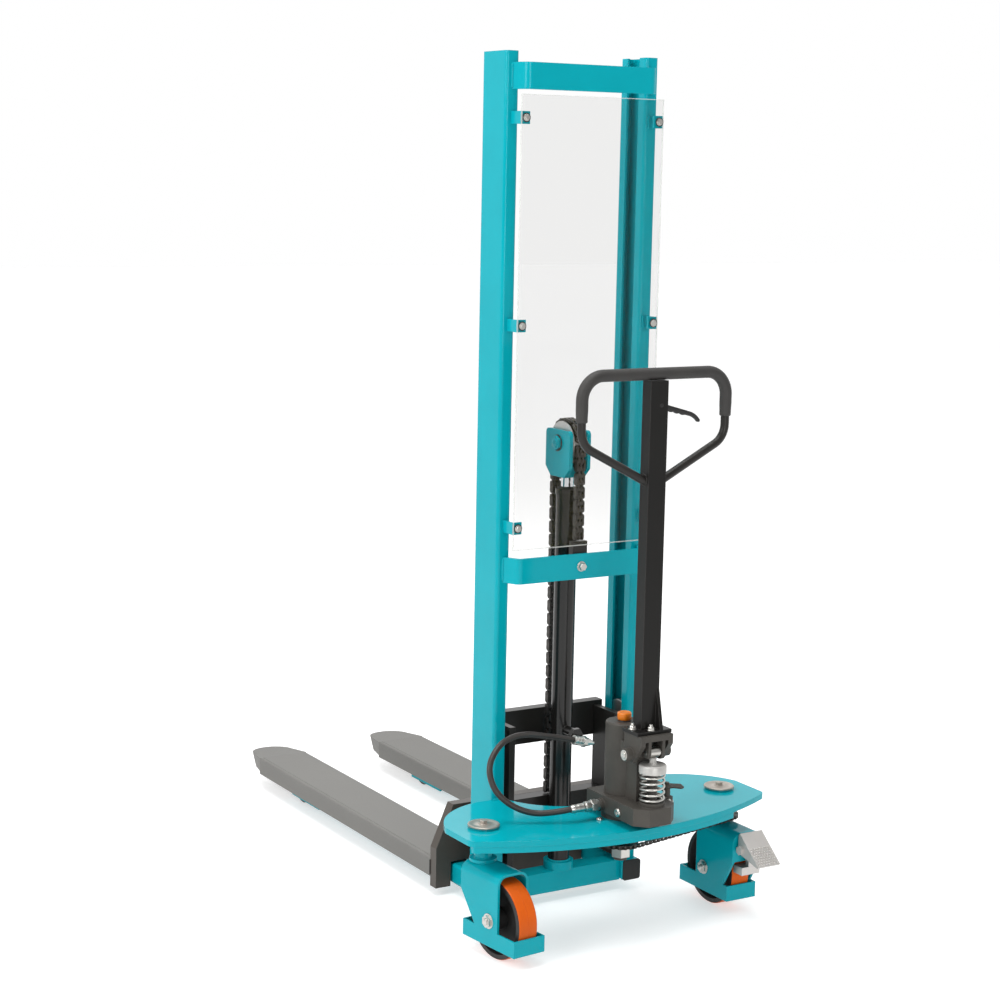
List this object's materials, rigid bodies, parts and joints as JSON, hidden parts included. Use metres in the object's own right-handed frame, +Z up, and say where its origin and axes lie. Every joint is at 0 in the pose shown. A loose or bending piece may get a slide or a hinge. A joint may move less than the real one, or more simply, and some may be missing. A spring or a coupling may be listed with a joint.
{
  "type": "hand pallet stacker",
  "caption": "Manual hydraulic pallet stacker: fixed mast on straddle legs, chain-lifted fork carriage, foot-braked casters and a steering tiller that pumps the lift cylinder.",
  "frame": {"origin": "on the floor, under the middle of the part's box", "axes": "+Z up, +Y towards the fork tips, +X to the right of the operator, who stands behind the mast"},
  "size_m": [0.804, 1.6759, 1.98],
  "materials": {
    "teal_paint": "glossy teal enamel",
    "dark_paint": "satin dark grey enamel",
    "grey_paint": "satin grey enamel",
    "cast": "dark cast surface",
    "steel": "machined steel",
    "zinc": "zinc plated",
    "chrome": "ground and plated",
    "chain": "oiled chain",
    "tread": "orange polyurethane",
    "rubber": "black rubber",
    "plastic": "black plastic",
    "screen": "clear sheet",
    "cap": "orange plastic"
  },
  "bodies": {
    "mast": {"left_mast_rail": "teal_paint", "right_mast_rail": "teal_paint", "top_crossbar": "teal_paint", "middle_crossbar": "teal_paint", "clear_screen": "screen", "screen_clips": "teal_paint", "mast_bolts": "zinc", "left_leg": "teal_paint", "right_leg": "teal_paint", "leg_end_caps": "plastic", "load_roller_axles": "steel", "base_cross_tube": "teal_paint", "cylinder_tube": "dark_paint", "chain_anchor": "dark_paint", "lift_chain_rear": "chain", "base_plate": "teal_paint", "king_pin_discs": "zinc", "steering_chain": "chain", "hydraulic_hose": "rubber"},
    "carriage": {"carriage_side_plates": "dark_paint", "roller_stubs": "steel", "carriage_bars": "dark_paint", "heel_plate": "dark_paint", "left_fork": "grey_paint", "right_fork": "grey_paint", "lift_chain_front": "chain"},
    "lower_rollers": {"lower_rollers": "steel"},
    "upper_rollers": {"upper_rollers": "steel"},
    "piston": {"piston_rod": "chrome", "pulley_yoke": "teal_paint", "pulley_pin": "teal_paint", "lift_chain_wrap": "chain"},
    "pulley": {"chain_pulley": "steel"},
    "pump": {"pump_block": "cast", "king_nut": "zinc", "pump_sprocket": "chain", "pump_reservoir": "cast", "filler_cap": "cap", "tiller_pin": "zinc", "pump_spring": "steel"},
    "plunger": {"pump_plunger": "steel"},
    "tiller": {"tiller_bracket": "cast", "tiller_column": "dark_paint", "tiller_loop": "dark_paint", "tiller_grip": "rubber"},
    "cam": {"cam_roller": "steel"},
    "release": {"release_lever": "plastic"},
    "valve": {"valve_lever": "cast"},
    "left_caster": {"left_caster_yoke": "teal_paint", "left_axle": "zinc"},
    "left_wheel": {"left_wheel": "cast", "left_tyre": "tread"},
    "right_caster": {"right_caster_yoke": "teal_paint", "right_axle": "zinc", "caster_sprocket": "chain"},
    "right_wheel": {"right_wheel": "cast", "right_tyre": "tread"},
    "brake": {"brake_pedal": "zinc"},
    "left_load_roller": {"left_load_roller": "plastic"},
    "right_load_roller": {"right_load_roller": "plastic"}
  },
  "joints": [
    {"name": "carriage_lift", "type": "slide", "parent": "mast", "child": "carriage", "axis": [0, 0, 1], "range_m": [0, 1.5], "deforming": ["lift_chain_front"]},
    {"name": "piston_slide", "type": "slide", "parent": "mast", "child": "piston", "axis": [0, 0, 1], "range_m": [0, 0.75], "deforming": ["lift_chain_rear"]},
    {"name": "pulley_spin", "type": "hinge", "parent": "piston", "child": "pulley", "pos_m": [0, -0.428, 1.099], "axis": [1, 0, 0], "range_deg": [0, 850]},
    {"name": "lower_roller_spin", "type": "hinge", "parent": "carriage", "child": "lower_rollers", "pos_m": [0, -0.404, 0.135], "axis": [1, 0, 0], "range_deg": [0, 1890]},
    {"name": "upper_roller_spin", "type": "hinge", "parent": "carriage", "child": "upper_rollers", "pos_m": [0, -0.404, 0.415], "axis": [1, 0, 0], "range_deg": [-1890, 0]},
    {"name": "steer", "type": "hinge", "parent": "mast", "child": "pump", "pos_m": [0, -0.688, 0.275], "axis": [0, 0, 1], "range_deg": [-70, 70], "deforming": ["hydraulic_hose", "steering_chain"]},
    {"name": "right_caster_swivel", "type": "hinge", "parent": "mast", "child": "right_caster", "pos_m": [0.325, -0.621, 0.2], "axis": [0, 0, 1], "range_deg": [-70, 70]},
    {"name": "left_caster_swivel", "type": "hinge", "parent": "mast", "child": "left_caster", "pos_m": [-0.325, -0.621, 0.2], "axis": [0, 0, 1], "continuous": true},
    {"name": "left_wheel_spin", "type": "hinge", "parent": "left_caster", "child": "left_wheel", "pos_m": [-0.31664, -0.70056, 0.09], "axis": [0.9945, 0.1045, 0], "continuous": true},
    {"name": "right_wheel_spin", "type": "hinge", "parent": "right_caster", "child": "right_wheel", "pos_m": [0.325, -0.627, 0.09], "axis": [1, 0, 0], "continuous": true},
    {"name": "brake_press", "type": "hinge", "parent": "right_caster", "child": "brake", "pos_m": [0.325, -0.755, 0.166], "axis": [1, 0, 0], "range_deg": [0, 5], "stiffness_Nm_per_rad": 8, "springref_deg": -8.59},
    {"name": "left_load_roller_spin", "type": "hinge", "parent": "mast", "child": "left_load_roller", "pos_m": [-0.187, 0.544, 0.038], "axis": [1, 0, 0], "continuous": true},
    {"name": "right_load_roller_spin", "type": "hinge", "parent": "mast", "child": "right_load_roller", "pos_m": [0.187, 0.544, 0.038], "axis": [1, 0, 0], "continuous": true},
    {"name": "tiller_tilt", "type": "hinge", "parent": "pump", "child": "tiller", "pos_m": [0, -0.776, 0.445], "axis": [1, 0, 0], "range_deg": [0, 55]},
    {"name": "plunger_slide", "type": "slide", "parent": "pump", "child": "plunger", "axis": [0, 0, 1], "range_m": [-0.0285, 0], "deforming": ["pump_spring"]},
    {"name": "cam_spin", "type": "hinge", "parent": "tiller", "child": "cam", "pos_m": [0, -0.804, 0.452], "axis": [1, 0, 0], "continuous": true},
    {"name": "release_pull", "type": "hinge", "parent": "tiller", "child": "release", "pos_m": [0.006, -0.771, 1.221], "axis": [0, -1, 0], "range_deg": [0, 12], "stiffness_Nm_per_rad": 1, "springref_deg": -17.19},
    {"name": "valve_turn", "type": "hinge", "parent": "pump", "child": "valve", "pos_m": [0.072, -0.76, 0.35], "axis": [0, 0, 1], "range_deg": [0, 12]}
  ],
  "couplings": [
    {"joint": "piston_slide", "follows": "carriage_lift", "ratio": 0.5},
    {"joint": "pulley_spin", "follows": "carriage_lift", "rad_per_m": 9.8},
    {"joint": "lower_roller_spin", "follows": "carriage_lift", "rad_per_m": 21.9},
    {"joint": "upper_roller_spin", "follows": "carriage_lift", "rad_per_m": -21.9},
    {"joint": "right_caster_swivel", "follows": "steer", "ratio": 1},
    {"joint": "plunger_slide", "follows": "tiller_tilt", "m_per_rad": -0.0293},
    {"joint": "valve_turn", "follows": "release_pull", "ratio": 1}
  ]
}
